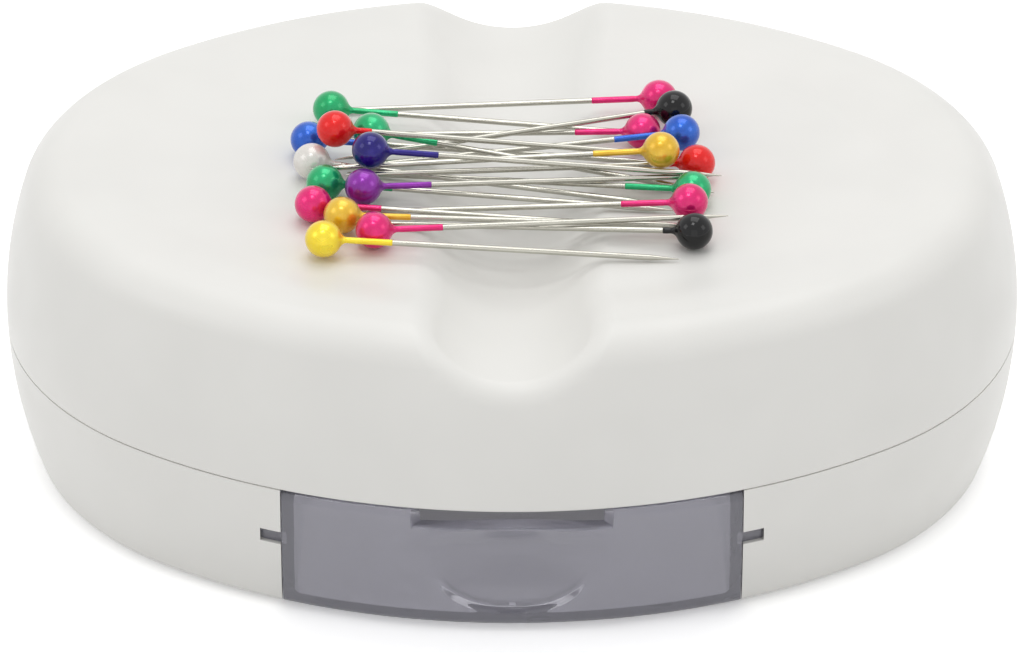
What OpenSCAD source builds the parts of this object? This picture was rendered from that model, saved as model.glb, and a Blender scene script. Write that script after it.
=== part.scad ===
// Oval magnetic pin bowl with a drawer underneath and a bundle of ball-headed pins on top.
// Millimetres. +Z is up, the drawer opens towards -Y, and the origin is the middle of the
// footprint, on the surface that the rubber feet stand on.

/* [Case] */
// Length of the case, left to right
body_l = 105; // [98:1:116]
// Depth of the case, front to back
body_w = 82; // [78:1:88]
// Height of the rim above the table
body_h = 34; // [33:0.5:38]
// Height of the parting line between the two shells
parting_z = 15.9; // [15.5:0.1:16.5]
// Height of the widest point of the bulged wall
widest_z = 17.9; // [17:0.1:20]
// How far the wall draws in at the foot
foot_inset = 3.4; // [2:0.1:4.5]
// How far the wall draws in below the shoulder
shoulder_inset = 1.6; // [1:0.1:3]
// Radius of the shoulder between the wall and the rim
shoulder_r = 4.6; // [3.5:0.1:5.5]
// Radius of the bottom edge
foot_r = 1.8; // [1:0.1:2.5]
// Wall thickness of both shells
wall = 2.2; // [1.8:0.1:2.6]
// Thickness of the deck over the magnets
deck_t = 2.2; // [1.8:0.1:2.6]
// Thickness of the base floor
floor_t = 2; // [1.6:0.1:2.4]
// Width of the shadow line between the two shells
seam_gap = 0.2; // [0.1:0.05:0.3]
// Height of the lip that locates the top shell
lip_h = 1.6; // [1:0.1:2.2]

/* [Dish and groove] */
// Distance from the widest point to the start of the dish
rim_inset = 8.2; // [7.8:0.1:9]
// Width of the slope round the dish
dish_slope = 7; // [4:0.5:9]
// Depth of the dish below the rim
dish_depth = 0.8; // [0.4:0.1:1.2]
// Radius of the finger groove
groove_r = 10.5; // [10:0.5:12]
// Depth of the finger groove below the rim
groove_depth = 4.7; // [4:0.1:5]
// Radius along both edges of the finger groove
groove_edge_r = 1.4; // [1:0.1:2.5]
// Radius of the rounding where the groove runs out through the wall
groove_mouth_r = 2.2; // [1.5:0.1:3]

/* [Drawer] */
// Width of the drawer across its side walls
drawer_w = 46.3; // [40:0.5:48]
// Distance from the middle of the case to the back of the drawer
drawer_back = 12; // [8:0.5:14]
// Thickness of the side, back and floor of the drawer
drawer_wall = 1.5; // [1.2:0.1:1.8]
// Thickness of the drawer front
front_t = 1.7; // [1.4:0.1:2]
// Gap round the drawer
drawer_gap = 0.25; // [0.15:0.05:0.4]
// Width of the rail on each side of the drawer
rail_w = 2.1; // [1.6:0.1:2.6]
// Thickness of the rail
rail_t = 1.2; // [1:0.1:1.6]
// Height of the underside of the rail
rail_z = 9.2; // [7:0.1:11]
// Gap round the rail
rail_gap = 0.2; // [0.1:0.05:0.3]
// Width of the finger notch in the drawer front
notch_w = 20.6; // [16:0.2:24]
// Depth of the finger notch
notch_h = 1.9; // [1.4:0.1:2.6]
// Radius of the finger scoop, seen from above
scoop_r = 18.6; // [16:0.2:22]
// Radius of the finger scoop from top to bottom
scoop_bend = 8.3; // [7:0.1:9]
// Height of the deepest place of the finger scoop
scoop_z = 6; // [5:0.1:7]
// Depth of that place behind the widest point of the front
scoop_depth = 3.5; // [3:0.1:3.8]
// How far the ends of the notch slant inwards, front to back
notch_slant = 0.9; // [0.4:0.1:1.2]
// Height of the bevel along the top of the drawer front
bevel_h = 1.2; // [0.6:0.1:1.6]
// Depth of that bevel
bevel_t = 0.4; // [0.1:0.05:0.6]
// Thickness of each guide wall in the base
guide_t = 4; // [3.6:0.1:4.6]

/* [Magnets] */
// Length of each magnet, front to back
magnet_l = 38; // [34:1:40]
// Width of each magnet
magnet_w = 15; // [12:0.5:16]
// Thickness of each magnet
magnet_t = 5; // [4:0.5:6]
// Thickness of the ribs round each magnet
rib_t = 1.2; // [1:0.1:1.5]
// Thickness of the magnet tray
tray_t = 1.5; // [1.2:0.1:1.8]
// How far the tray reaches past the magnets at each side
tray_side = 8; // [7.5:0.5:9]
// How far the tray reaches past the magnets at the back
tray_end = 3; // [1:0.5:4]
// Distance of the tray screws from the sides of the tray
tray_screw_in = 3.5; // [3.2:0.1:4]

/* [Fasteners and feet] */
// Shank diameter of the case screws
case_screw_d = 2.6; // [2.2:0.1:3]
// Length of the case screws under the head
case_screw_l = 11; // [9:0.5:12]
// Head diameter of the case screws
case_head_d = 5; // [4.4:0.1:5.4]
// Shank diameter of the tray screws
tray_screw_d = 2; // [1.8:0.1:2.4]
// Head diameter of the tray screws
tray_head_d = 4; // [3.6:0.1:4.4]
// Length of the tray screws under the head
tray_screw_l = 7; // [5:0.5:9]
// Distance of the two side screws from the ends of the case
side_screw_in = 14; // [13:0.5:16]
// Distance of the two rear screws from the back of the case
rear_screw_in = 13; // [12:0.5:15]
// Distance of the two rear screws from the middle
rear_screw_x = 17; // [15:0.5:20]
// Diameter of each rubber foot
foot_d = 7; // [6:0.5:8]
// Distance of the rubber feet from the ends of the case
foot_in_x = 21.5; // [20:0.5:24]
// Distance of the rubber feet from the front and the back of the case
foot_in_y = 22; // [20:0.5:24]
// Thickness of each rubber foot
foot_t = 1; // [0.8:0.1:1.2]
// How far each rubber foot stands out of the base
foot_out = 0.4; // [0.3:0.05:0.6]

/* [Pins] */
// Length of a pin, head included
pin_l = 38; // [34:0.5:40]
// Diameter of the steel shaft
pin_d = 0.6; // [0.5:0.05:0.7]
// Length of the point
point_l = 3; // [2:0.5:5]
// Diameter of the ball head
head_d = 3.8; // [3.4:0.1:4]
// Length of the neck that tapers from the ball to the shaft
neck_l = 0.8; // [0.5:0.1:1.2]
// Least gap between two pins in the pile
pile_gap = 0.06; // [0.05:0.01:0.15]

/* [Hidden] */
$fn = 64;

far = 200;
sector_reach = 30;
half_l = body_l / 2;
half_w = body_w / 2;
// The oval is four arcs. The centres of two neighbours and the middle of the case make a 3-4-5
// triangle, so the arcs meet tangent on its long side: end_c and side_c are 3 and 4 units, and
// the radii differ by 5.
oval_unit = (half_l - half_w) / 2;
end_c = 3 * oval_unit;
side_c = 4 * oval_unit;
end_r = half_l - end_c;
side_r = half_w + side_c;

// Heights
base_z = foot_out;
floor_z = base_z + floor_t;
deck_z = body_h - dish_depth;
deck_under = deck_z - deck_t;
split_lo = parting_z - seam_gap / 2;
split_hi = parting_z + seam_gap / 2;
lip_gap = 0.1;
lip_root = 1;

// Arcs of the bulged wall, in a section whose x is minus the distance in from the widest point
low_r = (foot_inset * foot_inset + pow(widest_z - base_z, 2)) / (2 * foot_inset);
shoulder_base = body_h - shoulder_r;
high_r = (shoulder_inset * shoulder_inset + pow(shoulder_base - widest_z, 2)) / (2 * shoulder_inset);
foot_cz = base_z + foot_r;
foot_cx = -low_r + sqrt(pow(low_r - foot_r, 2) - pow(widest_z - foot_cz, 2));
foot_a = atan2(foot_cz - widest_z, foot_cx + low_r);
shoulder_cx = -high_r + sqrt(pow(high_r - shoulder_r, 2) - pow(shoulder_base - widest_z, 2));
shoulder_a = atan2(shoulder_base - widest_z, shoulder_cx + high_r);

// Groove: a round channel along Y
groove_cz = body_h - groove_depth + groove_r;
groove_edge_a = acos((groove_cz - body_h + groove_edge_r) / (groove_r + groove_edge_r));
groove_edge_x = (groove_r + groove_edge_r) * sin(groove_edge_a);
groove_under_r = groove_r + deck_t;
mouth_out = 0.15;
mouth_z = body_h - groove_depth - groove_mouth_r;
mouth_y = half_w - high_r + sqrt(high_r * high_r - pow(mouth_z - widest_z, 2))
    - groove_mouth_r + mouth_out;

// Drawer and its bay
half_d = drawer_w / 2;
bay_w = half_d + drawer_gap;
bay_back = drawer_back + drawer_gap;
drawer_z = base_z + drawer_gap;
drawer_top = split_lo - drawer_gap;
drawer_floor = drawer_z + drawer_wall;
rail_back = drawer_back - drawer_wall;
rail_inset = 0.4;
guide_root = 0.5;
guide_top = split_lo - 1;
scoop_y = -half_w - scoop_r + scoop_depth;

// Magnets and their tray
magnet_gap = 0.2;
magnet_x = groove_edge_x + rib_t + magnet_gap + magnet_w / 2;
magnet_y = -3;
magnet_z = deck_under - magnet_t;
tray_gap = 0.3;
tray_z = split_hi + tray_gap;
tray_top = tray_z + tray_t;
tray_x = magnet_x + magnet_w / 2 + tray_side;
tray_back = magnet_y + magnet_l / 2 + tray_end;
tray_wall_gap = 0.4;
cradle_t = 1.6;
cradle_in = 4;
tray_screw_at = [tray_x - tray_screw_in, 14];
tray_screws_at = [for (x = [-1, 1], y = [-1, 1]) [x * tray_screw_at[0], y * tray_screw_at[1]]];

// Screws and feet
boss_wall = 1.6;
case_boss_r = case_screw_d / 2 + boss_wall;
tray_boss_r = tray_screw_d / 2 + boss_wall;
post_top = 9;
head_gap = 0.3;
thread_gap = 0.05;
shank_gap = 0.2;
foot_gap = 0.1;
boss_root = 0.5;
case_head_t = 1.8;
tray_head_t = 1.3;
counterbore_z = 5.5;
side_screw_y = -5;
case_screws_at = [for (x = [-1, 1], at = [[half_l - side_screw_in, side_screw_y],
    [rear_screw_x, half_w - rear_screw_in]]) [x * at[0], at[1]]];
feet_at = [for (x = [-1, 1], y = [-1, 1]) [x * (half_l - foot_in_x), y * (half_w - foot_in_y)]];

// Pins
head_r = head_d / 2;
pin_r = pin_d / 2;
shank_l = pin_l - head_r;
neck_z = head_r - 0.15;
neck_r = 0.75;
bore_gap = 0.02;
settle_step = 0.2;
tip_lift_max = 2.4;
// Each pin in the order they are laid: its colour, the side its head is on, the place of its
// head, how far its tip lies behind its head, and how high its head lies on those below
LEFT = -1;
RIGHT = 1;
pins_laid = [
    ["blue", LEFT, -21, 2.1, -2, 0],
    ["pink", RIGHT, 13.5, 3.9, 2, 0],
    ["pink", RIGHT, 15.3, 11.2, 0, 0],
    ["green", LEFT, -18.8, 8.8, -3, 0],
    ["green", LEFT, -14.5, 0.6, -7, 1.8],
    ["green", RIGHT, 18.5, -8.6, 6.5, 0],
    ["white", LEFT, -20.6, -2.6, -6.2, 0],
    ["black", RIGHT, 18.5, -17.4, 4.6, 0],
    ["green", LEFT, -19.2, -7.2, -3, 0],
    ["pink", LEFT, -20.3, -11.7, -2.2, 0],
    ["gold", LEFT, -17.3, -14.4, -0.5, 0.2],
    ["pink", LEFT, -14, -17.2, 2.3, 0],
    ["yellow", LEFT, -19.1, -19.4, -1, 0.2],
    ["purple", LEFT, -15.2, -9.7, 4, 0.9],
    ["red", RIGHT, 19, -3.3, -3, 0.2],
    ["blue", RIGHT, 17.5, 1.8, -3.4, 1],
    ["gold", RIGHT, 15.3, -4.6, -0.4, 2.4],
    ["navy", LEFT, -14.5, -6.1, -0.3, 3.2],
    ["pink", RIGHT, 18.1, -12.7, 2, 0.8],
    ["black", RIGHT, 16.8, 7, -8.5, 0.8],
    ["red", LEFT, -18.2, -1.5, 0.7, 3]
];

function within(v, low, high) = min(max(v, low), high);

// Distance from a point to the centre line of a pin
function off_line(p, pin) =
    let (d = pin[1] - pin[0], t = within((p - pin[0]) * d / (d * d), 0, 1))
        norm(p - pin[0] - t * d);

// Least distance between the centre lines of two pins
function line_gap(p, q) =
    let (d = p[1] - p[0], e = q[1] - q[0], r = p[0] - q[0],
        dd = d * d, ee = e * e, de = d * e, dr = d * r, er = e * r,
        den = dd * ee - de * de,
        s0 = den > 0.001 ? within((de * er - dr * ee) / den, 0, 1) : 0,
        t = within((de * s0 + er) / ee, 0, 1),
        s = within((de * t - dr) / dd, 0, 1))
        norm(p[0] + s * d - q[0] - t * e);

// The ball and the neck of a pin, each as a centre and a radius
function head_balls(pin) =
    [[pin[0], head_r], [pin[0] + (pin[1] - pin[0]) * (neck_z + neck_l / 2) / shank_l, neck_r]];

function clear(p, q) =
    line_gap(p, q) >= 2 * pin_r + pile_gap
    && min([for (a = head_balls(p)) off_line(a[0], q) - a[1]]) >= pin_r + pile_gap
    && min([for (a = head_balls(q)) off_line(a[0], p) - a[1]]) >= pin_r + pile_gap
    && min([for (a = head_balls(p), b = head_balls(q)) norm(a[0] - b[0]) - a[1] - b[1]]) >= pile_gap;

// A pin as the centre of its head and its tip, both at a height above where they touch the deck
function pin_at(p, head_lift, tip_lift) =
    let (dz = tip_lift - head_lift - head_r + pin_r,
        dx = sqrt(shank_l * shank_l - p[4] * p[4] - dz * dz),
        head = [p[2], p[3], deck_z + head_r + pile_gap + head_lift])
        [head, head + [-p[1] * dx, p[4], dz]];

// The lowest place at which a pin clears the pins that were laid before it
function settled(p, others, head_lift, tip_lift = 0) =
    let (pin = pin_at(p, head_lift, tip_lift))
        len([for (q = others) if (!clear(pin, q)) q]) == 0 ? pin
        : tip_lift < tip_lift_max ? settled(p, others, head_lift, tip_lift + settle_step)
        : settled(p, others, head_lift + settle_step, 0);

// The first n pins, each as the centre of its head and its tip
function laid(n) = n == 0 ? [] :
    let (below = laid(n - 1), p = pins_laid[n - 1]) concat(below, [settled(p, below, p[5])]);

// Points along an arc, both ends included
function arc(centre, r, from, to, steps) =
    [for (i = [0:steps]) let (a = from + (to - from) * i / steps)
        [centre[0] + r * cos(a), centre[1] + r * sin(a)]];

// The outside of the bulged wall, from the table up to the rim, drawn in by depth
function wall_line(depth) = concat(
    arc([-low_r, widest_z], low_r - depth, foot_a, 0, 7),
    arc([-high_r, widest_z], high_r - depth, 0, shoulder_a, 6),
    arc([shoulder_cx, shoulder_base], max(shoulder_r - depth, 0.2), shoulder_a, 90, 9));

module revolved(r) {
    rotate_extrude($fn = 180) intersection() {
        translate([0, -far]) square([far, 2 * far]);
        translate([r, 0]) children();
    }
}

// Sweeps a section round the oval. Its x is minus the distance in from the widest point, and
// it is solid all the way in. Each end is a whole turn, which lies inside the two long sides
// and touches them where they stop.
module oval() {
    seam = [end_c + 3 * sector_reach, 4 * sector_reach];
    for (side = [0, 1]) {
        mirror([side, 0, 0]) translate([end_c, 0]) revolved(end_r) children();
        mirror([0, side, 0]) intersection() {
            translate([0, -side_c]) revolved(side_r) children();
            translate([0, 0, -far]) linear_extrude(2 * far)
                polygon([[-end_c, 0], [end_c, 0], seam, [-seam[0], seam[1]]]);
        }
    }
}

// A full section of the case between two heights, drawn in by depth
module wall_section(depth, low, high) {
    intersection() {
        polygon(concat([[-far, base_z - 5], [wall_line(depth)[0][0], base_z - 5]],
            wall_line(depth), [[-far, body_h - depth]]));
        translate([-far, low]) square([far, high - low]);
    }
}

// The case below the parting line, with its rounded bottom edge
module base_section() {
    intersection() {
        polygon(concat(arc([foot_cx, foot_cz], foot_r, -90, foot_a, 5), wall_line(0),
            [[-far, body_h], [-far, base_z]]));
        translate([-far, 0]) square([far, split_lo]);
    }
}

// The S-shaped slope from the rim down to the floor of the dish, open at the top
module dish_section() {
    polygon(concat(
        [for (i = [0:8]) [-rim_inset - dish_slope * i / 8,
            body_h - dish_depth * (1 - cos(180 * i / 8)) / 2]],
        [[-far, deck_z], [-far, body_h + 1], [-rim_inset, body_h + 1]]));
}

// The rounded edges of the finger groove, open at the top. The last facet of each runs on into
// the round channel.
module groove_edges() {
    edge = arc([groove_edge_x, body_h - groove_edge_r], groove_edge_r, 90, 90 + groove_edge_a, 5);
    last = edge[5] + (edge[5] - edge[4]);
    side = concat([[groove_edge_x, body_h + 5]], edge, [last]);
    polygon(concat(side, [for (i = [6:-1:0]) [-side[i + 1][0], side[i + 1][1]]],
        [[-groove_edge_x, body_h + 5]]));
}

// The round channel of the groove, with a trumpet mouth at the front and at the back
module groove_bore() {
    translate([0, 0, groove_cz]) rotate([-90, 0, 0]) rotate_extrude($fn = 180) {
        translate([0, -mouth_y - groove_mouth_r]) square([groove_r, 2 * (mouth_y + groove_mouth_r)]);
        for (side = [0, 1]) mirror([0, side, 0]) difference() {
            translate([0, mouth_y]) square([groove_r + groove_mouth_r, groove_mouth_r]);
            translate([groove_r + groove_mouth_r, mouth_y]) circle(groove_mouth_r);
        }
    }
}

module along_y() {
    rotate([90, 0, 0]) linear_extrude(2 * far, center = true) children();
}

module tube(r, hole_r, z0, z1) {
    translate([0, 0, z0]) difference() {
        cylinder(r = r, h = z1 - z0);
        translate([0, 0, -1]) cylinder(r = hole_r, h = z1 - z0 + 2);
    }
}

module box(low, high) {
    translate(low) cube(high - low);
}

module top_cavity() {
    difference() {
        oval() wall_section(wall, 0, deck_under);
        along_y() translate([0, groove_cz]) circle(r = groove_under_r, $fn = 96);
    }
}

module magnet_ribs() {
    x = magnet_w / 2 + magnet_gap;
    y = magnet_l / 2 + magnet_gap;
    translate([0, magnet_y, 0]) difference() {
        box([-x - rib_t, -y - rib_t, magnet_z - 1], [x + rib_t, y + rib_t, deck_under + 1]);
        box([-x, -y, 0], [x, y, deck_under]);
    }
}

module top_shell() {
    color("ivory") {
        difference() {
            oval() wall_section(0, split_hi, far);
            oval() dish_section();
            top_cavity();
            along_y() groove_edges();
            groove_bore();
            oval() wall_section(wall / 2, 0, split_hi + lip_h + seam_gap);
        }
        for (side = [-1, 1]) translate([side * magnet_x, 0, 0]) magnet_ribs();
        for (at = case_screws_at) translate(at) case_boss();
        for (at = tray_screws_at) translate(at)
            tube(tray_boss_r, tray_screw_d / 2 + thread_gap, tray_top, deck_under + boss_root);
    }
}

module case_boss() {
    tube(case_boss_r, case_screw_d / 2 + thread_gap, post_top, deck_under + boss_root);
}

module base_shell() {
    color("ivory") {
        difference() {
            union() {
                difference() {
                    oval() base_section();
                    oval() wall_section(wall, floor_z, far);
                }
                lip();
                guides();
                for (at = case_screws_at) translate(at) translate([0, 0, base_z])
                    cylinder(r = case_head_d / 2 + head_gap + boss_wall, h = post_top - base_z);
            }
            drawer_bay();
            for (at = case_screws_at) translate(at) {
                cylinder(r = case_screw_d / 2 + shank_gap, h = far, center = true);
                translate([0, 0, -far + counterbore_z])
                    cylinder(r = case_head_d / 2 + head_gap, h = far);
            }
            for (at = feet_at) translate(at) cylinder(r = foot_d / 2 + foot_gap, h = foot_t);
        }
    }
}

module lip() {
    difference() {
        oval() wall_section(wall / 2 + lip_gap, split_lo - lip_root, split_lo + lip_h);
        oval() wall_section(wall, 0, far);
    }
}

module guides() {
    intersection() {
        oval() wall_section(wall - guide_root, base_z + guide_root, guide_top);
        difference() {
            box([-bay_w - guide_t, -far, 0], [bay_w + guide_t, bay_back + drawer_wall, far]);
            box([-bay_w, -far, -1], [bay_w, bay_back, far + 1]);
        }
    }
}

module drawer_bay() {
    box([-bay_w, -far, -1], [bay_w, bay_back, far]);
    box([-bay_w - rail_w, -far, rail_z - rail_gap],
        [bay_w + rail_w, rail_back + rail_gap, rail_z + rail_t + rail_gap]);
}

module drawer() {
    color("slategray") difference() {
        union() {
            drawer_box();
            intersection() {
                oval() wall_section(rail_inset, 0, far);
                for (side = [0, 1]) mirror([side, 0, 0])
                    box([half_d - drawer_wall, -far, rail_z],
                        [half_d + rail_w, rail_back, rail_z + rail_t]);
            }
        }
        intersection() {
            scoop(0);
            box([-far, -far, drawer_floor], [far, far, far]);
        }
        notch();
    }
}

// What the finger scoop takes off the drawer front, made larger by grow
module scoop(grow) {
    translate([0, scoop_y, scoop_z]) rotate_extrude($fn = 128) intersection() {
        translate([scoop_r - scoop_bend, 0]) circle(scoop_bend + grow);
        translate([0, -far]) square([far, 2 * far]);
    }
}

// The notch in the top edge of the drawer front, whose ends slant in towards the back
module notch() {
    slope = notch_slant / front_t;
    reach = front_t + 1;
    outer = notch_w / 2 + slope * reach;
    inner = notch_w / 2 - slope * reach;
    translate([0, -half_w, drawer_top - notch_h]) linear_extrude(notch_h + 1)
        polygon([[-outer, -reach], [outer, -reach], [inner, reach], [-inner, reach]]);
}

module drawer_box() {
    difference() {
        intersection() {
            oval() drawer_front_section();
            box([-half_d, -far, drawer_z], [half_d, drawer_back, drawer_top]);
        }
        difference() {
            intersection() {
                oval() wall_section(front_t, 0, far);
                box([-half_d + drawer_wall, -far, drawer_floor],
                    [half_d - drawer_wall, drawer_back - drawer_wall, far]);
            }
            scoop(front_t);
        }
    }
}

// The outside of the case down to its rounded edge, bevelled along the top
module drawer_front_section() {
    difference() {
        base_section();
        polygon([[bevel_t, drawer_top - 2 * bevel_h], [-bevel_t, drawer_top], [-bevel_t, far],
            [bevel_t, far]]);
    }
}

module magnet() {
    box([-magnet_w / 2, magnet_y - magnet_l / 2, magnet_z],
        [magnet_w / 2, magnet_y + magnet_l / 2, deck_under]);
}

module magnet_left() {
    color("dimgray") translate([-magnet_x, 0, 0]) magnet();
}

module magnet_right() {
    color("dimgray") translate([magnet_x, 0, 0]) magnet();
}

module magnet_tray() {
    color("gainsboro") difference() {
        union() {
            intersection() {
                oval() wall_section(wall + tray_wall_gap, tray_z, tray_top);
                box([-tray_x, -far, 0], [tray_x, tray_back, far]);
            }
            for (side = [-1, 1]) translate([side * magnet_x, magnet_y, 0]) cradle();
        }
        for (at = tray_screws_at) translate(at) cylinder(r = tray_screw_d / 2 + shank_gap, h = far);
    }
}

// Three ribs that carry a magnet, joined by a lower one along it
module cradle() {
    reach = magnet_l / 2 - cradle_in;
    for (y = [-reach, 0, reach])
        box([-magnet_w / 2, y - cradle_t / 2, tray_z], [magnet_w / 2, y + cradle_t / 2, magnet_z]);
    box([-cradle_t / 2, -reach, tray_z], [cradle_t / 2, reach, magnet_z - 1]);
}

// A pan-head screw pointing up, with a cross recess, whose head's top face is at z = 0
module screw(shank_d, length, head_d, head_t) {
    difference() {
        union() {
            translate([0, 0, -head_t]) cylinder(d1 = head_d * 0.8, d2 = head_d, h = head_t * 0.45);
            translate([0, 0, -head_t * 0.55]) cylinder(d = head_d, h = head_t * 0.55);
            cylinder(d = shank_d, h = length - 1);
            translate([0, 0, length - 1]) cylinder(d1 = shank_d, d2 = shank_d * 0.4, h = 1);
        }
        for (a = [0, 90]) rotate(a) translate([0, 0, -head_t])
            cube([head_d * 0.6, head_d * 0.14, head_t], center = true);
    }
}

module case_screws() {
    color("silver") for (at = case_screws_at) translate(at) translate([0, 0, counterbore_z])
        screw(case_screw_d, case_screw_l, case_head_d, case_head_t);
}

module tray_screws() {
    color("silver") for (at = tray_screws_at) translate(at) translate([0, 0, tray_z])
        screw(tray_screw_d, tray_screw_l, tray_head_d, tray_head_t);
}

module rubber_feet() {
    color("dimgray") for (at = feet_at) translate(at) cylinder(d = foot_d, h = foot_t);
}

// Turns and moves its children so that their z axis runs from the head of a pin to its tip
module along_pin(pin) {
    d = pin[1] - pin[0];
    translate(pin[0]) rotate([0, acos(d[2] / norm(d)), atan2(d[1], d[0])]) children();
}

module pin_shaft() {
    cylinder(r = pin_r, h = shank_l - point_l);
    translate([0, 0, shank_l - point_l]) cylinder(r1 = pin_r, r2 = pin_r / 6, h = point_l);
}

// A ball with a tapered neck, moulded round the end of the shaft
module pin_head() {
    difference() {
        union() {
            sphere(r = head_r);
            translate([0, 0, neck_z])
                cylinder(r1 = sqrt(head_r * head_r - neck_z * neck_z), r2 = pin_r + 0.08, h = neck_l);
        }
        cylinder(r = pin_r + bore_gap, h = head_d);
    }
}

module pin_heads(colour, shade) {
    pins = laid(len(pins_laid));
    color(shade) for (i = [0:len(pins) - 1]) if (pins_laid[i][0] == colour)
        along_pin(pins[i]) pin_head();
}

module pin_shafts() {
    color("silver") for (pin = laid(len(pins_laid))) along_pin(pin) pin_shaft();
}

module pin_heads_pink() {
    pin_heads("pink", "deeppink");
}

module pin_heads_green() {
    pin_heads("green", "mediumseagreen");
}

module pin_heads_red() {
    pin_heads("red", "crimson");
}

module pin_heads_blue() {
    pin_heads("blue", "royalblue");
}

module pin_heads_gold() {
    pin_heads("gold", "goldenrod");
}

module pin_heads_black() {
    pin_heads("black", "black");
}

module pin_head_yellow() {
    pin_heads("yellow", "gold");
}

module pin_head_navy() {
    pin_heads("navy", "navy");
}

module pin_head_purple() {
    pin_heads("purple", "darkorchid");
}

module pin_head_white() {
    pin_heads("white", "whitesmoke");
}

base_shell();
top_shell();
drawer();
magnet_left();
magnet_right();
magnet_tray();
tray_screws();
case_screws();
rubber_feet();
pin_shafts();
pin_heads_pink();
pin_heads_green();
pin_heads_red();
pin_heads_blue();
pin_heads_gold();
pin_heads_black();
pin_head_yellow();
pin_head_navy();
pin_head_purple();
pin_head_white();
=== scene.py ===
import math

import bmesh
import bpy
import numpy as np
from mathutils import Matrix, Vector


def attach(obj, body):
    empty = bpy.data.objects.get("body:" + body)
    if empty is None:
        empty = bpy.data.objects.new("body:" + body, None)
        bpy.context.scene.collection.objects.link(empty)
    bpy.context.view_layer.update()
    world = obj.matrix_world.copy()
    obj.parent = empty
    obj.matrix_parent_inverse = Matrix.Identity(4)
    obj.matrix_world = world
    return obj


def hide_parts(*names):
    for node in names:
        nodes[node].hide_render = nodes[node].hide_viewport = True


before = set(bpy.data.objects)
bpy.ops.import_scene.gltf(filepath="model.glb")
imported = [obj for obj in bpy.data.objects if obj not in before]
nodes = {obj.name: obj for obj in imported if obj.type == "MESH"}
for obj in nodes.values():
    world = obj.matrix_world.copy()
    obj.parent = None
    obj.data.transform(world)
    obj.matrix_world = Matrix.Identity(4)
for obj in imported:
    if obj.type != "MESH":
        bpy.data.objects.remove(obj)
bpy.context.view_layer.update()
MM = 0.001


def linear(red, green, blue):
    """An 8-bit sRGB colour as the linear one that a shader takes."""
    def channel(value):
        value /= 255
        return value / 12.92 if value <= 0.04045 else ((value + 0.055) / 1.055) ** 2.4
    return channel(red), channel(green), channel(blue), 1


# Materials

class Shader:
    """A material with its Principled node, and short ways to add and join nodes."""

    def __init__(self, name):
        self.material = bpy.data.materials.new(name)
        self.material.use_nodes = True
        self.tree = self.material.node_tree
        self.main = self.tree.nodes["Principled BSDF"]
        self.place = self.add("ShaderNodeTexCoord").outputs["Object"]

    def add(self, kind, **values):
        node = self.tree.nodes.new(kind)
        for key, value in values.items():
            setattr(node, key, value)
        return node

    def join(self, source, target):
        self.tree.links.new(source, target)

    def noise(self, size, detail=2.0, stretch=None):
        """Noise whose features are about size metres across, drawn out along stretch."""
        node = self.add("ShaderNodeTexNoise")
        node.inputs["Scale"].default_value = 1 / size
        node.inputs["Detail"].default_value = detail
        source = self.place
        if stretch:
            mapping = self.add("ShaderNodeMapping")
            mapping.inputs["Scale"].default_value = stretch
            self.join(source, mapping.inputs["Vector"])
            source = mapping.outputs["Vector"]
        self.join(source, node.inputs["Vector"])
        return node.outputs["Fac"]

    def between(self, factor, low, high, start=0.3, end=0.7):
        """A number that runs from low to high as factor runs from start to end."""
        node = self.add("ShaderNodeMapRange")
        for key, value in (("From Min", start), ("From Max", end), ("To Min", low), ("To Max", high)):
            node.inputs[key].default_value = value
        self.join(factor, node.inputs["Value"])
        return node.outputs["Result"]

    def blend(self, factor, first, second):
        """A colour between two others."""
        node = self.add("ShaderNodeMix", data_type="RGBA")
        for target, value in ((node.inputs[6], first), (node.inputs[7], second)):
            if isinstance(value, bpy.types.NodeSocket):
                self.join(value, target)
            else:
                target.default_value = value
        self.join(factor, node.inputs[0])
        return node.outputs[2]

    def colour(self, source):
        self.join(source, self.main.inputs["Base Color"])

    def roughness(self, source):
        self.join(source, self.main.inputs["Roughness"])

    def bump(self, *heights):
        """Adds bumps, each given as a source and a height in metres."""
        normal = None
        for source, height in heights:
            node = self.add("ShaderNodeBump")
            node.inputs["Distance"].default_value = height
            self.join(source, node.inputs["Height"])
            if normal:
                self.join(normal, node.inputs["Normal"])
            normal = node.outputs["Normal"]
        self.join(normal, self.main.inputs["Normal"])

    def set(self, **values):
        for key, value in values.items():
            self.main.inputs[key.replace("_", " ")].default_value = value


def moulded(name, light, dark, rough):
    """Satin moulded plastic: faint mottling, uneven gloss and a fine spark-eroded grain."""
    shader = Shader(name)
    cloud = shader.noise(14 * MM)
    shader.colour(shader.blend(shader.between(cloud, 0, 1), light, dark))
    shader.roughness(shader.between(shader.noise(5 * MM), rough - 0.04, rough + 0.04))
    shader.bump((shader.noise(0.35 * MM, 3), 0.004 * MM), (shader.noise(9 * MM, 1), 0.008 * MM))
    return shader.material


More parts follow.
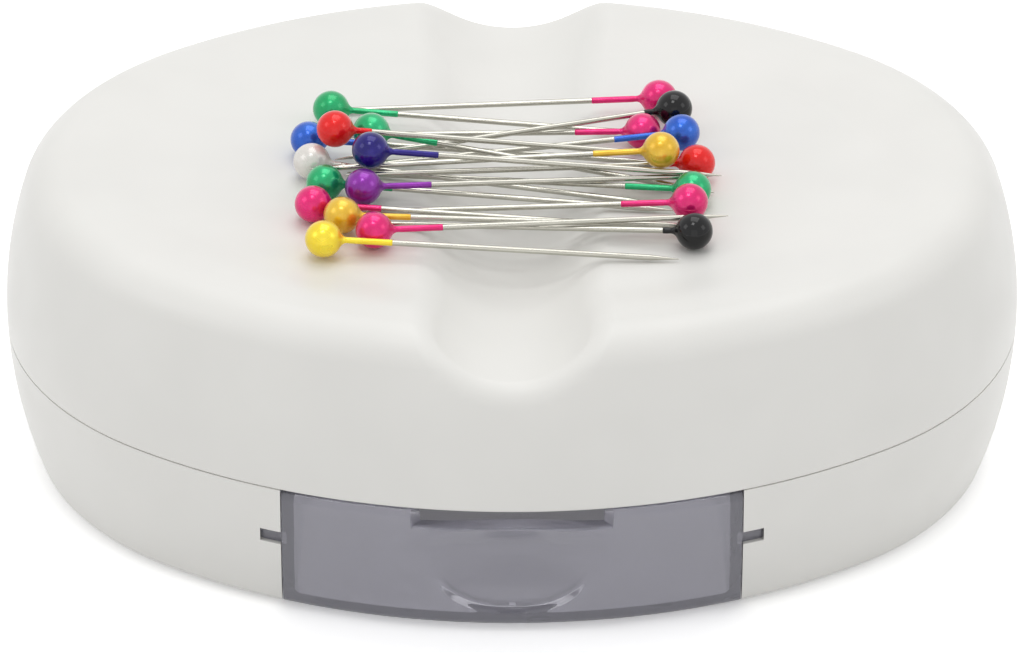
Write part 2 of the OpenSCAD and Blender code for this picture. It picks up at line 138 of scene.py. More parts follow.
def smoked(name, ior=1.49, clear_share=0.72):
    """Grey plastic, a little violet: part clear, darker where it is thicker, and part milky."""
    shader = Shader(name)
    shader.set(Base_Color=linear(198, 197, 209), IOR=ior)
    shader.roughness(shader.between(shader.noise(6 * MM), 0.26, 0.34))
    shader.bump((shader.noise(7 * MM, 1), 0.01 * MM), (shader.noise(0.4 * MM), 0.003 * MM))
    clear = shader.add("ShaderNodeBsdfPrincipled")
    clear.inputs["Base Color"].default_value = linear(242, 241, 245)
    clear.inputs["Transmission Weight"].default_value = 1
    clear.inputs["IOR"].default_value = ior
    clear.inputs["Roughness"].default_value = 0.14
    mixed = shader.add("ShaderNodeMixShader")
    mixed.inputs["Fac"].default_value = clear_share
    shader.join(shader.main.outputs["BSDF"], mixed.inputs[1])
    shader.join(clear.outputs["BSDF"], mixed.inputs[2])
    output = shader.tree.nodes["Material Output"]
    shader.join(mixed.outputs["Shader"], output.inputs["Surface"])
    volume = shader.add("ShaderNodeVolumeAbsorption")
    volume.inputs["Color"].default_value = (0.5, 0.49, 0.6, 1)
    volume.inputs["Density"].default_value = 45
    shader.join(volume.outputs["Volume"], output.inputs["Volume"])
    return shader.material


def metal(name, colour, rough, stretch, size):
    """Drawn or plated metal with fine streaks."""
    shader = Shader(name)
    streaks = shader.noise(size, 3, stretch)
    shader.set(Metallic=1.0)
    dark = tuple(0.86 * c for c in colour[:3]) + (1,)
    shader.colour(shader.blend(shader.between(streaks, 0, 1), colour, dark))
    shader.roughness(shader.between(streaks, rough - 0.05, rough + 0.08))
    shader.bump((streaks, 0.002 * MM))
    return shader.material


def rough_solid(name, light, dark, rough, size):
    """Sintered or rubbery material with an even, dull grain."""
    shader = Shader(name)
    fine = shader.noise(size, 5)
    shader.colour(shader.blend(shader.between(fine, 0, 1), dark, light))
    shader.roughness(shader.between(fine, rough + 0.08, rough - 0.08))
    shader.bump((fine, 0.02 * MM))
    return shader.material


def pearl(name, colour, deep, metallic=0.5, rough=0.3, sheen=0.05):
    """Lacquered pearl ball: tiny flakes under a clear coat."""
    shader = Shader(name)
    flakes = shader.noise(0.12 * MM, 2)
    swirl = shader.noise(2.2 * MM, 2)
    base = shader.blend(shader.between(swirl, 0, 1), colour, deep)
    pale = tuple(min(1, c * 1.25 + 0.02) for c in colour[:3]) + (1,)
    shader.colour(shader.blend(shader.between(flakes, 0, 0.2, 0.45, 0.7), base, pale))
    shader.roughness(shader.between(swirl, rough - 0.04, rough + 0.04))
    shader.bump((shader.noise(0.8 * MM, 2), 0.006 * MM))
    shader.set(Metallic=metallic, Coat_Weight=1.0, Coat_Roughness=0.08, Coat_IOR=1.42,
               Specular_IOR_Level=0.0, Sheen_Weight=sheen, Sheen_Roughness=0.4)
    return shader.material


case_plastic = moulded("case_satin", linear(238, 237, 233), linear(234, 233, 229), 0.42)
tray_plastic = moulded("tray_satin", linear(226, 224, 218), linear(220, 218, 211), 0.5)
drawer_plastic = smoked("drawer_smoke")
pin_steel = metal("pin_nickel", linear(190, 188, 178), 0.16, (0.08, 1, 1), 0.25 * MM)
screw_steel = metal("screw_zinc", linear(190, 194, 200), 0.3, (1, 1, 1), 0.4 * MM)
ferrite = rough_solid("ferrite_sintered", linear(70, 70, 74), linear(52, 52, 55), 0.62, 0.5 * MM)
foot_rubber = rough_solid("foot_rubber", linear(58, 58, 60), linear(42, 42, 44), 0.8, 0.3 * MM)
pearls = {
    "pink": pearl("pearl_pink", linear(236, 36, 124), linear(216, 22, 104)),
    "green": pearl("pearl_green", linear(36, 184, 122), linear(14, 160, 92)),
    "red": pearl("pearl_red", linear(244, 30, 28), linear(226, 16, 18), 0.2),
    "blue": pearl("pearl_blue", linear(44, 106, 208), linear(24, 76, 184)),
    "gold": pearl("pearl_gold", linear(240, 200, 72), linear(222, 172, 36)),
    "black": pearl("pearl_black", linear(14, 14, 16), linear(8, 8, 10), 0.0, 0.3, 0.0),
    "yellow": pearl("pearl_yellow", linear(252, 226, 60), linear(244, 206, 28)),
    "navy": pearl("pearl_navy", linear(36, 22, 132), linear(20, 12, 98), 0.4, 0.3, 0.0),
    "purple": pearl("pearl_purple", linear(146, 46, 172), linear(118, 26, 140)),
    "white": pearl("pearl_white", linear(238, 235, 230), linear(226, 222, 216), 0.2, 0.25)}


def dress(name, material):
    """Gives a CAD node, which stays as it is, a material of its own."""
    for place in nodes[name].material_slots:
        place.material = material


dress("magnet_tray", tray_plastic)
dress("magnet_left", ferrite)
dress("magnet_right", ferrite)
dress("case_screws", screw_steel)
dress("tray_screws", screw_steel)
dress("rubber_feet", foot_rubber)
dress("pin_shafts", pin_steel)


# New pieces

def placed(name, mesh, body, replaced):
    """An object with this mesh, riding on a body and shown in place of a CAD node."""
    obj = bpy.data.objects.new(name, mesh)
    bpy.context.scene.collection.objects.link(obj)
    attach(obj, body)
    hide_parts(replaced)


def piece(name, points, faces, body, material, replaced, normals=None, sharp=None):
    """A new object from points in millimetres."""
    mesh = bpy.data.meshes.new(name)
    mesh.from_pydata([Vector(p) * MM for p in points], [], faces)
    shape = bmesh.new()
    shape.from_mesh(mesh)
    bmesh.ops.recalc_face_normals(shape, faces=shape.faces)
    shape.to_mesh(mesh)
    shape.free()
    mesh.materials.append(material)
    mesh.shade_smooth()
    if normals is not None:
        mesh.normals_split_custom_set_from_vertices(normals)
    if sharp:
        mesh.set_sharp_from_angle(angle=sharp)
    placed(name, mesh, body, replaced)


def lathe(profile, start, way, turns=40):
    """Points and faces of a closed turned form; the profile is (distance along, radius)."""
    way = Vector(way)
    side = way.orthogonal().normalized()
    other = way.cross(side)
    points, rings = [], []
    for along, radius in profile:
        radius = float(radius)
        centre = Vector(start) + way * float(along)
        if radius == 0:
            rings.append([len(points)] * turns)
            points.append(centre)
            continue
        rings.append(list(range(len(points), len(points) + turns)))
        for i in range(turns):
            angle = 2 * math.pi * i / turns
            points.append(centre + radius * (side * math.cos(angle) + other * math.sin(angle)))
    return points, ring_faces(rings)


def ring_faces(rings):
    """Faces between rings of point numbers, which may have shrunk to a single point."""
    faces = []
    for low, high in zip(rings, rings[1:]):
        for i, j in zip(range(len(low)), [*range(1, len(low)), 0]):
            face = [low[i], low[j], high[j], high[i]]
            face = [v for k, v in enumerate(face) if v not in face[:k]]
            if len(face) > 2:
                faces.append(face)
    return faces


def gather(parts):
    """The points and faces of several closed forms as those of one mesh."""
    all_points, all_faces = [], []
    for points, faces in parts:
        all_faces += [[len(all_points) + v for v in face] for face in faces]
        all_points += list(points)
    return all_points, all_faces


# Case: the true arcs of its oval and of its section, measured from the widest point inwards

top = np.array([v.co[:] for v in nodes["top_shell"].data.vertices]) / MM
HALF_L, HALF_W, BODY_H = top.max(0)
PARTING_Z = 15.9
PARTING_GAP = 0.2
WIDEST_Z = 17.9
BASE_Z = 0.4
FOOT_INSET = 3.4
SHOULDER_INSET = 1.6
SHOULDER_R = 4.6
WALL = 2.2
DECK_T = 2.2
RIM_INSET = 8.2
DISH_SLOPE = 7
DISH_DEPTH = 0.8
GROOVE_R = 10.5
GROOVE_DEPTH = 4.7
GROOVE_EDGE_R = 1.4
MOUTH_R = 2.1
MOUTH_REACH = 5
SEAM_GAP = 0.05
SEAM_EDGE_R = 0.25
LIP_TOP = 17.8
BOSS_ROOT = 0.5
CASE_BOSS_R, CASE_BORE_R, CASE_BOSS_Z = 2.9, 1.35, 9
TRAY_BOSS_R, TRAY_BORE_R, TRAY_BOSS_Z = 2.6, 1.05, 17.8
CASE_BOSSES = [(sign * x, y) for sign in (-1, 1) for x, y in ((38.5, -5), (17, 28))]
TRAY_BOSSES = [(sign * 30.37, y) for sign in (-1, 1) for y in (-14, 14)]

unit = (HALF_L - HALF_W) / 2
END_C, SIDE_C = 3 * unit, 4 * unit
END_R, SIDE_R = HALF_L - END_C, HALF_W + SIDE_C
LOW_R = (FOOT_INSET ** 2 + (WIDEST_Z - BASE_Z) ** 2) / (2 * FOOT_INSET)
SHOULDER_BASE = BODY_H - SHOULDER_R
HIGH_R = (SHOULDER_INSET ** 2 + (SHOULDER_BASE - WIDEST_Z) ** 2) / (2 * SHOULDER_INSET)
SHOULDER_C = HIGH_R - math.sqrt((HIGH_R - SHOULDER_R) ** 2 - (SHOULDER_BASE - WIDEST_Z) ** 2)
SHOULDER_A = math.atan2(SHOULDER_BASE - WIDEST_Z, HIGH_R - SHOULDER_C)
GROOVE_CZ = BODY_H - GROOVE_DEPTH + GROOVE_R
CEILING = BODY_H - DISH_DEPTH - DECK_T
SEAM_Z = PARTING_Z - PARTING_GAP / 2 + SEAM_GAP

OUTLINE_POINTS = 640
SEAM_STEPS, WALL_STEPS, SHOULDER_STEPS, RIM_STEPS, SLOPE_STEPS, DECK_STEPS = 5, 22, 22, 3, 15, 56
INNER_WALL_STEPS, INNER_SHOULDER_STEPS, CEILING_STEPS = 6, 3, 14
QUARTER_TURN = math.pi / 2


def outline(count, samples=8001, focus=13, extra=1.5):
    """Points and outward normals round the oval, closer together where the groove is."""
    angle = np.linspace(0, 2 * math.pi, samples)
    radius, x, y = oval_at(angle)
    length = np.concatenate([[0], np.cumsum((radius * (1 + extra * (abs(x) < focus)))[:-1])])
    angle = np.interp(np.arange(count) / count * length[-1], length, angle)
    radius, x, y = oval_at(angle)
    return np.stack([x, y], 1), np.stack([np.cos(angle), np.sin(angle)], 1)


def oval_at(angle):
    """The radius and the place of the oval where its outward normal has this angle."""
    cos, sin = np.cos(angle), np.sin(angle)
    end = abs(sin) * END_C < abs(cos) * SIDE_C
    radius = np.where(end, END_R, SIDE_R)
    x = np.where(end, np.sign(cos) * END_C, 0) + radius * cos
    y = np.where(end, 0, -np.sign(sin) * SIDE_C) + radius * sin
    return radius, x, y


def inset_at(x, y):
    """How far a point lies in from the widest outline."""
    x, y = abs(x), abs(y)
    side = x * SIDE_C < END_C * (y + SIDE_C)
    return np.where(side, SIDE_R - np.hypot(x, y + SIDE_C), END_R - np.hypot(x - END_C, y))


def eased(share):
    """A soft step from 0 to 1."""
    return share ** 2 * (3 - 2 * share)


def dished(inset):
    """The height of the deck, from the rim down the slope to the floor of the dish."""
    share = np.clip((inset - RIM_INSET) / DISH_SLOPE, 0, 1)
    return BODY_H - DISH_DEPTH * (1 - np.cos(math.pi * share)) / 2


def skin(place, depth=0.0):
    """Signed distance from the case without its groove, drawn in by depth."""
    x, y, z = place.T
    inset = inset_at(x, y)
    radius = np.where(z < WIDEST_Z, LOW_R, HIGH_R)
    wall = np.hypot(radius - inset, z - WIDEST_Z) - radius + depth
    out, up = SHOULDER_C - inset, z - SHOULDER_BASE
    shoulder = np.hypot(out, up) - SHOULDER_R + depth
    lid = z - (CEILING if depth else dished(inset))
    gap = np.where(np.arctan2(up, out) > SHOULDER_A, shoulder, wall)
    return np.maximum(gap, lid) if depth else np.where(out < 0, lid, gap)


def case_gap(place, depth=0.0):
    """Signed distance from the case with its groove, whose outer edges are rounded."""
    body = skin(place, depth)
    bore = GROOVE_R + (DECK_T if depth else 0)
    groove = bore - np.hypot(place[:, 0], place[:, 2] - GROOVE_CZ)
    if depth:
        return np.maximum(body, groove)
    mouth = np.clip((HALF_W - abs(place[:, 1])) / MOUTH_REACH, 0, 1)
    rounding = MOUTH_R + (GROOVE_EDGE_R - MOUTH_R) * eased(mouth)
    inner = np.minimum(-rounding, np.maximum(body, groove))
    return inner + np.hypot(np.maximum(rounding + body, 0), np.maximum(rounding + groove, 0))


def sunk(place, depth=0.0, inwards=0.4, target_z=-10, reach=9.0, halvings=30):
    """Moves the points of the ungrooved case down and inwards onto the grooved one."""
    way = np.stack([0 * place[:, 0], -inwards * place[:, 1], target_z - place[:, 2]], 1)
    way /= np.linalg.norm(way, axis=1)[:, None]
    near, far = np.zeros(len(place)), np.full(len(place), reach)
    outside = case_gap(place, depth) > 1e-6
    for _ in range(halvings):
        middle = (near + far) / 2
        above = case_gap(place + way * middle[:, None], depth) > 0
        near, far = np.where(above, middle, near), np.where(above, far, middle)
    return place + way * np.where(outside, near, 0)[:, None]


def steepest(place, gap, step=0.01):
    """The direction in which a signed distance grows."""
    slope = np.stack([gap(place + shift) - gap(place - shift) for shift in np.eye(3) * step], 1)
    return slope / np.linalg.norm(slope, axis=1)[:, None]


def wall_rows(depth, z_from, wall_steps, shoulder_steps, shoulder_to, clearance=0.2):
    """(inset, height) up the wall from z_from and round the shoulder."""
    rows = []
    for z in np.linspace(z_from, SHOULDER_BASE, wall_steps + 1):
        radius = LOW_R if z < WIDEST_Z else HIGH_R
        rows.append((radius - math.sqrt((radius - depth) ** 2 - (z - WIDEST_Z) ** 2), z))
    turn = np.linspace(SHOULDER_A, shoulder_to, shoulder_steps + 1)
    radius = SHOULDER_R - depth
    start_z = SHOULDER_BASE + radius * math.sin(SHOULDER_A)
    rows = [row for row in rows if row[1] < start_z - clearance]
    return rows + [(SHOULDER_C - radius * math.cos(a), SHOULDER_BASE + radius * math.sin(a))
                   for a in turn]


def outer_rows():
    """(inset, height) from the seam up the wall, over the shoulder and down into the dish."""
    foot = LOW_R - math.sqrt(LOW_R ** 2 - (WIDEST_Z - SEAM_Z) ** 2)
    turned = [(foot + SEAM_EDGE_R * (1 - math.sin(a)), SEAM_Z + SEAM_EDGE_R * (1 - math.cos(a)))
              for a in np.linspace(0, QUARTER_TURN, SEAM_STEPS + 1)[:-1]]
    wall = wall_rows(0, SEAM_Z + SEAM_EDGE_R, WALL_STEPS, SHOULDER_STEPS, QUARTER_TURN)
    rim = np.linspace(SHOULDER_C, RIM_INSET, RIM_STEPS + 1)[1:]
    slope = np.linspace(RIM_INSET, RIM_INSET + DISH_SLOPE, SLOPE_STEPS + 1)[1:]
    return (turned + wall + [(inset, BODY_H) for inset in rim]
            + [(inset, dished(inset)) for inset in slope])


def case_rings(rows, edge, out, deck_steps):
    """Rings of points through (inset, height) rows, then inwards to the middle of the deck."""
    rings = [np.column_stack([edge - inset * out, np.full(len(edge), z)]) for inset, z in rows]
    inset, z = rows[-1]
    for share in np.linspace(1, 0, deck_steps + 1)[1:]:
        rings.append(np.column_stack([share * (edge - inset * out), np.full(len(edge), z)]))
    return rings


def top_skin():
    """Points, faces and normals of the top shell's skin, closed round the inside as well."""
    edge, out = outline(OUTLINE_POINTS)
    outer = case_rings(outer_rows(), edge, out, DECK_STEPS)
    lip = [(WALL / 2, SEAM_Z), (WALL / 2, LIP_TOP)]
    up_to = math.asin((CEILING - SHOULDER_BASE) / (SHOULDER_R - WALL))
    rows = lip + wall_rows(WALL, LIP_TOP, INNER_WALL_STEPS, INNER_SHOULDER_STEPS, up_to)
    inner = case_rings(rows, edge, out, CEILING_STEPS)
    outside = sunk(np.concatenate(outer))
    under_deck = sunk(np.concatenate(inner[len(lip):]), WALL)
    points = np.concatenate([outside, *inner[:len(lip)], under_deck])
    rings = np.arange(len(points)).reshape(-1, len(edge)).tolist()
    for middle in (len(outer) - 1, len(rings) - 1):
        rings[middle] = [rings[middle][0]] * len(edge)
    faces = ring_faces(rings[:len(outer)])
    faces += ring_faces(rings[len(outer):])
    faces += ring_faces([rings[0], rings[len(outer)]])
    normals = np.zeros((len(points), 3))
    shown = np.arange(SEAM_STEPS * len(edge), len(outside))
    normals[shown] = steepest(points[shown], case_gap)
    used = sorted({v for face in faces for v in face})
    order = {old: new for new, old in enumerate(used)}
    return points[used], [[order[v] for v in face] for face in faces], normals[used]


def boss(at, outer, bore, z_low, turns=48):
    """A screw boss with its bore, which runs up into the deck."""
    height = CEILING + BOSS_ROOT - z_low
    profile = [(0, bore), (0, outer), (height, outer), (height, bore), (0, bore)]
    return lathe(profile, (*at, z_low), (0, 0, 1), turns)


def moulded_top():
    """The top shell, whose outside is shaded as the true curve."""
    points, faces, normals = top_skin()
    parts = [(points, faces)]
    parts += [boss(at, CASE_BOSS_R, CASE_BORE_R, CASE_BOSS_Z) for at in CASE_BOSSES]
    parts += [boss(at, TRAY_BOSS_R, TRAY_BORE_R, TRAY_BOSS_Z) for at in TRAY_BOSSES]
    all_points, faces = gather(parts)
    normals = np.concatenate([normals, np.zeros((len(all_points) - len(points), 3))])
    piece("moulded_top", all_points, faces, "root", case_plastic, "top_shell",
          normals)


def moulded_base(near=0.04, facing=0.9):
    """A copy of the base shell whose outer wall is shaded as the true curve."""
    mesh = nodes["base_shell"].data.copy()
    mesh.name = "moulded_base"
    place = np.array([v.co[:] for v in mesh.vertices]) / MM
    curve = steepest(place, skin)
    close = abs(skin(place)) < near
    normals = [corner.vector[:] for corner in mesh.corner_normals]
    for face in mesh.polygons:
        if all(close[v] and curve[v] @ face.normal > facing for v in face.vertices):
            for corner, vert in zip(face.loop_indices, face.vertices):
                normals[corner] = curve[vert]
    mesh.materials.clear()
    mesh.materials.append(case_plastic)
    mesh.shade_smooth()
    mesh.normals_split_custom_set(normals)
    placed("moulded_base", mesh, "root", "base_shell")


moulded_top()
moulded_base()


# Drawer: an open box whose front wall follows the case, with a soft scoop and a notch

HALF_D = 23.3
DRAWER_Z = 0.65
DRAWER_TOP = 15.55
DRAWER_FLOOR = 2.15
DRAWER_BACK = 12
DRAWER_MIDDLE_Y = -14
SIDE_T = 1.5
FRONT_T = 1.7
EDGE_R = 0.25
FLOOR_R = 0.6
FOOT_R = 1.8
BEVEL_H = 1.2
BEVEL_T = 0.4
NOTCH_X = 10.1
NOTCH_H = 1.9
NOTCH_SLANT = 0.9
NOTCH_END_START, NOTCH_END_STOP = 0.03, 0.15
SCOOP_R = 18.6
SCOOP_BEND = 8.3
SCOOP_Z = 6
SCOOP_Y = -37.5 - SCOOP_R
# Below SCOOP_END_Z the scoop moves forwards by up to SCOOP_END_Y and so ends above the floor
SCOOP_END_Z = DRAWER_FLOOR + 0.3
SCOOP_END_H = 0.6
SCOOP_END_Y = 12
# The edge of the scoop is crisp up to SCOOP_Z and grows soft over the next SOFT_RISE
SOFT_LOW, SOFT_HIGH, SOFT_RISE = 0.3, 4.0, 5
# A small step inside the edge of the scoop, which fades out towards STEP_TOP
STEP_SPREAD, STEP_DEPTH, STEP_TOP, STEP_FADE = 0.35, 0.5, 9, 4
RAIL_LOW, RAIL_HIGH, RAIL_X, RAIL_BACK = 9.06, 10.54, 25.4, 10.5
RAIL_EDGE_R = 0.2
RAIL_ROOT = 0.4
RAIL_INSET = 0.45
SHARP_EDGE = math.radians(38)

FRONT_STEPS, SIDE_STEPS, BACK_STEPS = 180, 24, 30
OUTER_STEPS, INNER_STEPS, EDGE_STEPS, RAIL_STEPS = 89, 49, 4, 11


def foot_inset(z):
    """How far the wall below the widest point lies in, down to its rounded foot."""
    wall = LOW_R - np.sqrt(LOW_R ** 2 - (WIDEST_Z - z) ** 2)
    rise = WIDEST_Z - BASE_Z - FOOT_R
    middle = LOW_R - math.sqrt((LOW_R - FOOT_R) ** 2 - rise ** 2)
    turn = BASE_Z + FOOT_R - FOOT_R * rise / (LOW_R - FOOT_R)
    low = middle - np.sqrt(np.maximum(FOOT_R ** 2 - (z - BASE_Z - FOOT_R) ** 2, 0))
    return np.where(z < turn, low, wall)


def front_y(x, z, depth):
    """The front wall of the drawer, drawn in by depth, with its scoop blended in."""
    bevel = BEVEL_T * ((z - DRAWER_TOP) / BEVEL_H + 1)
    inset = np.maximum(foot_inset(z), bevel) + depth
    plain = SIDE_C - np.sqrt((SIDE_R - inset) ** 2 - x ** 2)
    bend = np.sqrt(np.maximum((SCOOP_BEND + depth) ** 2 - (z - SCOOP_Z) ** 2, 0))
    scoop = SCOOP_Y + np.sqrt(np.maximum((SCOOP_R - SCOOP_BEND + bend) ** 2 - x ** 2, 0))
    scoop -= SCOOP_END_Y * np.clip((SCOOP_END_Z - z) / SCOOP_END_H, 0, 1)
    soft = SOFT_LOW + (SOFT_HIGH - SOFT_LOW) * np.clip((z - SCOOP_Z) / SOFT_RISE, 0, 1)
    near = np.maximum(soft - abs(plain - scoop), 0) / soft
    step = eased(np.clip((scoop - plain) / STEP_SPREAD, 0, 1))
    step *= STEP_DEPTH * np.clip((STEP_TOP - z) / STEP_FADE, 0, 1)
    return np.maximum(plain, scoop) + near ** 2 * soft / 4 + step


def front_places():
    """Where the points of a ring lie across the drawer front, from left to right."""
    ends = [side * (NOTCH_X + d) for side in (-1, 1) for d in (NOTCH_END_START, NOTCH_END_STOP)]
    return np.sort(np.concatenate([np.linspace(-HALF_D, HALF_D, FRONT_STEPS + 1), ends]))


front_x = front_places()


def drawer_ring(depth, base, rise=0.0, drop=0.0, turned_in=0.0):
    """One ring round the drawer wall. Depth goes from 0 outside to 1 inside, and rise from 0 at
    the height base to 1 at the top edge. Drop and turned_in are what a rounded edge takes off."""
    narrower = HALF_D - SIDE_T * depth
    x = np.sign(front_x) * np.interp(abs(front_x), [0, NOTCH_X, HALF_D],
                                     [0, NOTCH_X - NOTCH_SLANT * depth, narrower])
    into_notch = (NOTCH_X + NOTCH_END_STOP - abs(front_x)) / (NOTCH_END_STOP - NOTCH_END_START)
    notch = NOTCH_H * np.clip(into_notch, 0, 1)
    z = base + (DRAWER_TOP - notch - base) * rise - drop
    side_x = narrower - turned_in
    x = x * side_x / narrower
    front = np.column_stack([x, front_y(x, z, FRONT_T * depth), z])
    back_y = DRAWER_BACK - SIDE_T * depth - turned_in
    rest_z = base + (DRAWER_TOP - base) * rise - drop
    along = np.linspace(front[-1, 1], back_y, SIDE_STEPS + 1)[1:]
    right = np.column_stack([np.full(len(along), side_x), along, np.full(len(along), rest_z)])
    across = np.linspace(side_x, -side_x, BACK_STEPS + 1)[1:]
    back = np.column_stack([across, np.full(len(across), back_y), np.full(len(across), rest_z)])
    left = right[::-1][1:] * (-1, 1, 1)
    return np.concatenate([front, right, back, left])


def drawer_box(flat_share=0.9):
    """The box of the drawer, from under its floor up outside, over the edge and down inside."""
    quarter = np.linspace(0, QUARTER_TURN, EDGE_STEPS + 1)
    bends = [(1 - math.sin(a), 1 - math.cos(a)) for a in quarter]
    rings = [drawer_ring(0, DRAWER_Z + EDGE_R * low, turned_in=EDGE_R * high)
             for low, high in bends[:0:-1]]
    rings += [drawer_ring(0, DRAWER_Z + EDGE_R, s, EDGE_R * s)
              for s in np.linspace(0, 1, OUTER_STEPS + 1)]
    rings += [drawer_ring(EDGE_R / SIDE_T * high, 0, 1, EDGE_R * low) for low, high in bends[1:]]
    rings += [drawer_ring(1 - EDGE_R / SIDE_T * low, 0, 1, EDGE_R * high) for low, high in bends]
    rings += [drawer_ring(1, DRAWER_FLOOR + FLOOR_R, 1 - s, EDGE_R * (1 - s))
              for s in np.linspace(0, 1, INNER_STEPS + 1)[1:]]
    rings += [drawer_ring(1, DRAWER_FLOOR + FLOOR_R * low, turned_in=FLOOR_R * high)
              for low, high in bends[1:]]
    ends = (rings[0], rings[-1])
    middles = [np.array((0, DRAWER_MIDDLE_Y, ring[0, 2])) for ring in ends]
    flat = [middle + flat_share * (ring - middle) for middle, ring in zip(middles, ends)]
    rings = [flat[0], *rings, flat[1]]
    count = len(rings[0])
    points = [*np.concatenate(rings), *middles]
    numbers = np.arange(len(rings) * count).reshape(-1, count).tolist()
    numbers = [[len(points) - 2] * count] + numbers + [[len(points) - 1] * count]
    return points, ring_faces(numbers)


def rail(side, corner_steps=3):
    """A rail with rounded edges, from just behind the drawer front to its back wall."""
    z_mid, z_half = (RAIL_LOW + RAIL_HIGH) / 2, (RAIL_HIGH - RAIL_LOW) / 2
    rim = []
    for outwards, upwards, turn in ((1, 1, 0), (0, 1, 1), (0, -1, 2), (1, -1, 3)):
        centre_x = RAIL_X - RAIL_EDGE_R if outwards else HALF_D - RAIL_ROOT
        centre_z = z_mid + upwards * (z_half - RAIL_EDGE_R)
        for angle in np.linspace(0, QUARTER_TURN, corner_steps + 1) + turn * QUARTER_TURN:
            rim.append((centre_x + RAIL_EDGE_R * math.cos(angle),
                        centre_z + RAIL_EDGE_R * math.sin(angle)))
    x, z = np.array(rim).T
    start = front_y(x, z, RAIL_INSET)
    points = np.concatenate([np.column_stack([side * x, start + (RAIL_BACK - start) * share, z])
                             for share in np.linspace(0, 1, RAIL_STEPS + 1)])
    numbers = np.arange(len(points)).reshape(-1, len(rim)).tolist()
    return points, ring_faces(numbers) + [numbers[0][::-1], numbers[-1]]


points, faces = gather([drawer_box(), rail(-1), rail(1)])
piece("smoky_drawer", points, faces, "drawer", drawer_plastic, "drawer",
      sharp=SHARP_EDGE)


# Pins

HEAD_R = 1.9
SHAFT_R = 0.3
NECK_R = SHAFT_R + 0.035
NECK_ANGLE = math.radians(27)
NECK_END = 2.8
SLEEVE = 4.2
SHORT_SLEEVES = {"black": 0.4, "white": 0.3, "red": 1.0}
# How the sleeve thins out: (distance before its end, radius)
SLEEVE_END = ((0.25, NECK_R), (0.08, SHAFT_R + 0.03), (0, SHAFT_R + 0.01))
HEAD_BORE = SHAFT_R + 0.005
BALL_STEPS, NECK_STEPS = 29, 9


def islands(mesh_object):
    """The points of each separate solid of a node, in millimetres."""
    mesh = bmesh.new()
    mesh.from_mesh(mesh_object.data)
    bmesh.ops.remove_doubles(mesh, verts=mesh.verts, dist=1e-7)
    left = set(mesh.verts)
    found = []
    for first in mesh.verts:
        if first not in left:
            continue
        left.remove(first)
        stack = [first]
        part = []
        while stack:
            vert = stack.pop()
            part.append(vert.co[:])
            for edge in vert.link_edges:
                other = edge.other_vert(vert)
                if other in left:
                    left.remove(other)
                    stack.append(other)
        found.append(np.array(part) / MM)
    mesh.free()
    return found


def shaft_line(points):
    """The blunt end, where the middle of the head is, and the direction towards the tip."""
    middle = points.mean(0)
    axis = np.linalg.eigh(np.cov((points - middle).T))[1][:, -1]
    along = (points - middle) @ axis
    ends = []
    for end in (along.min(), along.max()):
        rim = points[np.abs(along - end) < 0.02]
        ends.append((rim.mean(0), np.linalg.norm(rim - rim.mean(0), axis=1).max()))
    blunt, tip = sorted(ends, key=lambda end: -end[1])
    way = tip[0] - blunt[0]
    return blunt[0], way / np.linalg.norm(way)


def head_profile(sleeve):
    """A ball drawn out into a teardrop neck and a thin painted sleeve round the shaft."""
    ball = [(-HEAD_R * math.cos(a), HEAD_R * math.sin(a))
            for a in np.linspace(0, math.pi - NECK_ANGLE, BALL_STEPS + 1)]
    ball[0] = (-HEAD_R, 0)
    start, start_r = ball[-1]
    slope = math.tan(NECK_ANGLE - QUARTER_TURN)
    length = NECK_END - start
    neck = []
    for t in np.linspace(0, 1, NECK_STEPS + 1)[1:]:
        # A cubic that leaves the ball at its own slope and ends level
        radius = start_r + (NECK_R - start_r) * eased(t) + slope * length * t * (1 - t) ** 2
        neck.append((start + length * t, radius))
    end = NECK_END + sleeve
    tail = [(end - before, radius) for before, radius in SLEEVE_END]
    return ball + neck + tail + [(end, HEAD_BORE), (0, HEAD_BORE), (0, 0)]


def pearl_heads():
    """A head on every shaft, in the colour of the CAD head that is nearest to it."""
    heads = {name.split("_")[-1]: name for name in nodes if name.startswith("pin_head")}
    own = {colour: np.array([v.co[:] for v in nodes[name].data.vertices]) / MM
           for colour, name in heads.items()}
    made = {colour: [] for colour in heads}
    for shaft in islands(nodes["pin_shafts"]):
        centre, way = shaft_line(shaft)
        colour = min(own, key=lambda c: np.linalg.norm(own[c] - centre, axis=1).min())
        profile = head_profile(SHORT_SLEEVES.get(colour, SLEEVE))
        made[colour].append(lathe(profile, centre, way))
    for colour, parts in made.items():
        points, faces = gather(parts)
        piece("pearl_heads_" + colour, points, faces, "pins", pearls[colour],
              heads[colour])


pearl_heads()


# Camera, lights and floor

ELEVATION = math.radians(29.55)
DISTANCE = 1.0
AIM = Vector((0, 0, 14.15 * MM))
AMBIENT = 0.62
FLOOR_REACH = 3
FLOOR_GLOW = 0.31
FLOOR_LIT, FLOOR_SEEN = (0.8, 0.8, 0.8, 1), (1.12, 1.12, 1.12, 1)

camera = bpy.data.objects.new("camera", bpy.data.cameras.new("camera"))
bpy.context.scene.collection.objects.link(camera)
camera.location = AIM + DISTANCE * Vector((0, -math.cos(ELEVATION), math.sin(ELEVATION)))
camera.rotation_euler = (math.pi / 2 - ELEVATION, 0, 0)
camera.data.lens = 337.4
camera.data.sensor_width = 36
camera.data.clip_end = 20
bpy.context.scene.camera = camera


def lamp(name, place, size, power):
    """A square soft box that faces the object."""
    light = bpy.data.lights.new(name, "AREA")
    light.size = size
    light.energy = power
    obj = bpy.data.objects.new(name, light)
    obj.location = place
    obj.rotation_euler = (-Vector(place)).to_track_quat("-Z", "Y").to_euler()
    bpy.context.scene.collection.objects.link(obj)


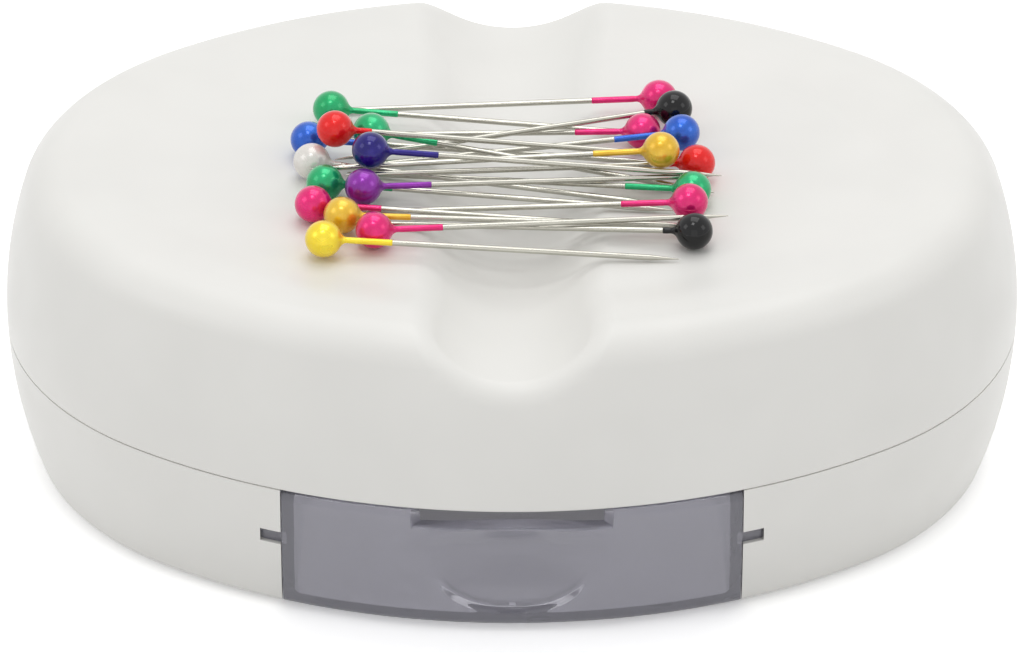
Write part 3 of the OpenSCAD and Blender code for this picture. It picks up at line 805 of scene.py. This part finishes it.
lamp("top_light", (0.05, 0.22, 0.75), 0.5, 1.4)
lamp("key_light", (-0.08, -0.22, 0.78), 0.2, 0.6)
lamp("left_light", (-0.7, -0.2, 0.55), 0.35, 0.52)
lamp("right_light", (0.75, -0.25, 0.5), 0.35, 0.44)
lamp("front_light", (0, -1.15, 0.35), 0.8, 0.52)


def seen(tree):
    """1 for what the camera, reflections and clear plastic see, and 0 for what lights things."""
    path = tree.nodes.new("ShaderNodeLightPath")
    total = path.outputs["Is Camera Ray"]
    for extra in ("Is Glossy Ray", "Is Transmission Ray"):
        node = tree.nodes.new("ShaderNodeMath")
        node.operation = "MAXIMUM"
        tree.links.new(total, node.inputs[0])
        tree.links.new(path.outputs[extra], node.inputs[1])
        total = node.outputs[0]
    return total


def studio_world():
    """White to look at, and less bright where it lights the object."""
    world = bpy.data.worlds.new("studio")
    bpy.context.scene.world = world
    world.use_nodes = True
    tree = world.node_tree
    ambient = tree.nodes["Background"]
    ambient.inputs["Color"].default_value = (1, 1, 1, 1)
    ambient.inputs["Strength"].default_value = AMBIENT
    white = tree.nodes.new("ShaderNodeBackground")
    white.inputs["Color"].default_value = (1, 1, 1, 1)
    mix = tree.nodes.new("ShaderNodeMixShader")
    tree.links.new(seen(tree), mix.inputs[0])
    tree.links.new(ambient.outputs[0], mix.inputs[1])
    tree.links.new(white.outputs[0], mix.inputs[2])
    tree.links.new(mix.outputs[0], tree.nodes["World Output"].inputs["Surface"])


def paper_floor():
    """White paper that keeps the shadow round the foot of the case."""
    corners = [(x * FLOOR_REACH, y * FLOOR_REACH, 0) for x, y in ((-1, -1), (1, -1), (1, 1), (-1, 1))]
    mesh = bpy.data.meshes.new("floor")
    mesh.from_pydata(corners, [], [(0, 1, 2, 3)])
    floor = bpy.data.objects.new("floor", mesh)
    bpy.context.scene.collection.objects.link(floor)
    paper = Shader("floor_paper")
    paper.set(Roughness=1.0, Specular_IOR_Level=0.0)
    paper.colour(paper.blend(seen(paper.tree), FLOOR_LIT, FLOOR_SEEN))
    glow = paper.add("ShaderNodeEmission")
    paper.join(paper.between(seen(paper.tree), 0, FLOOR_GLOW, 0, 1), glow.inputs["Strength"])
    total = paper.add("ShaderNodeAddShader")
    paper.join(paper.main.outputs[0], total.inputs[0])
    paper.join(glow.outputs[0], total.inputs[1])
    paper.join(total.outputs[0], paper.tree.nodes["Material Output"].inputs["Surface"])
    mesh.materials.append(paper.material)


studio_world()
paper_floor()

bpy.context.scene.view_settings.view_transform = "Standard"
